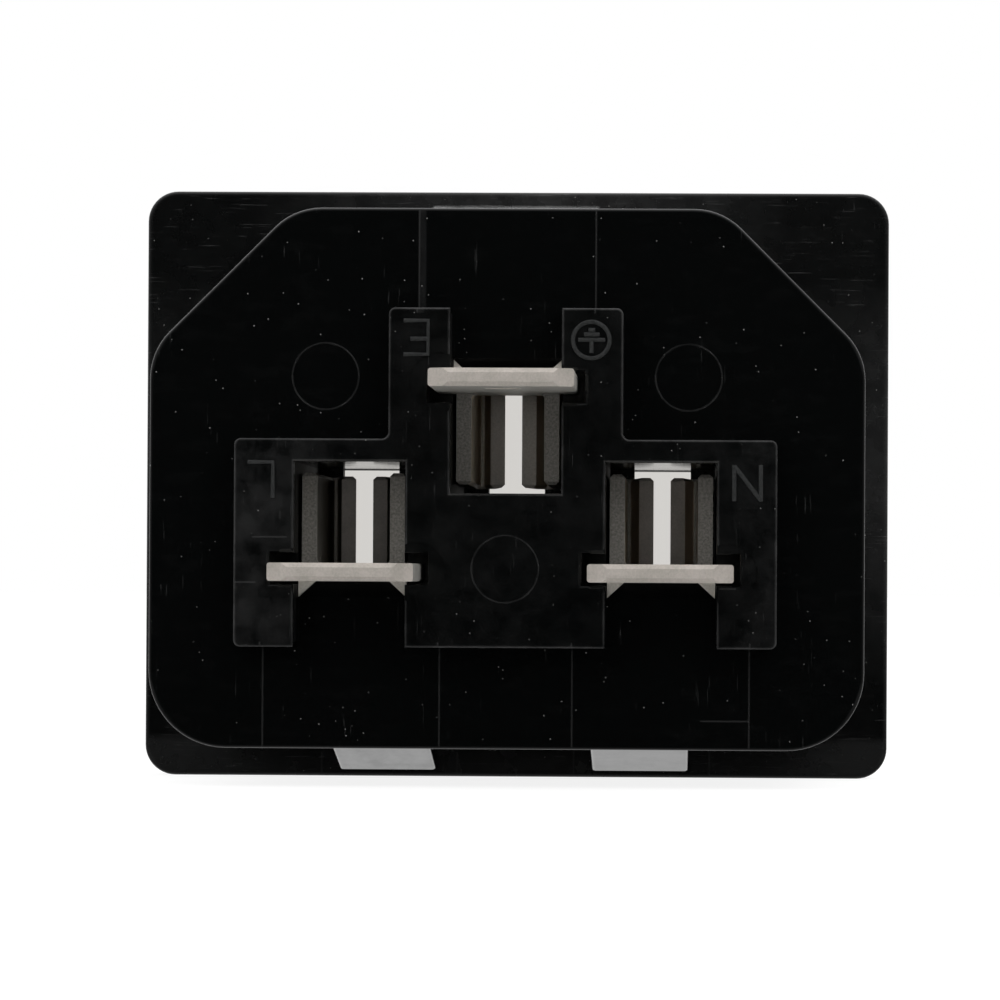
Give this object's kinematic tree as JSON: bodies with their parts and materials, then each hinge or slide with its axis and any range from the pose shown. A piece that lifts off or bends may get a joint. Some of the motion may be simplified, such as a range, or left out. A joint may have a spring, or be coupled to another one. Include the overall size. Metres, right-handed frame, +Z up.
{
  "type": "c13 panel outlet socket",
  "caption": "Snap-in panel outlet of C13 pattern for a C14 appliance plug: moulded flange and D-shaped body, folded spring contacts, and quick-connect tabs at the back.",
  "frame": {"origin": "centre of the panel cut-out, in the plane where the back of the flange meets the panel's front", "axes": "+Y out of the mating face towards the plug, -Y towards the terminals, +Z up towards the earth contact, +X right as seen from the terminal side"},
  "size_m": [0.0356, 0.0305, 0.028],
  "materials": {
    "housing": "black moulded thermoplastic, satin to glossy",
    "contacts": "tin-plated sheet, satin"
  },
  "bodies": {
    "root": {"housing": "housing", "line_contact": "contacts", "neutral_contact": "contacts", "earth_contact": "contacts"}
  },
  "joints": []
}
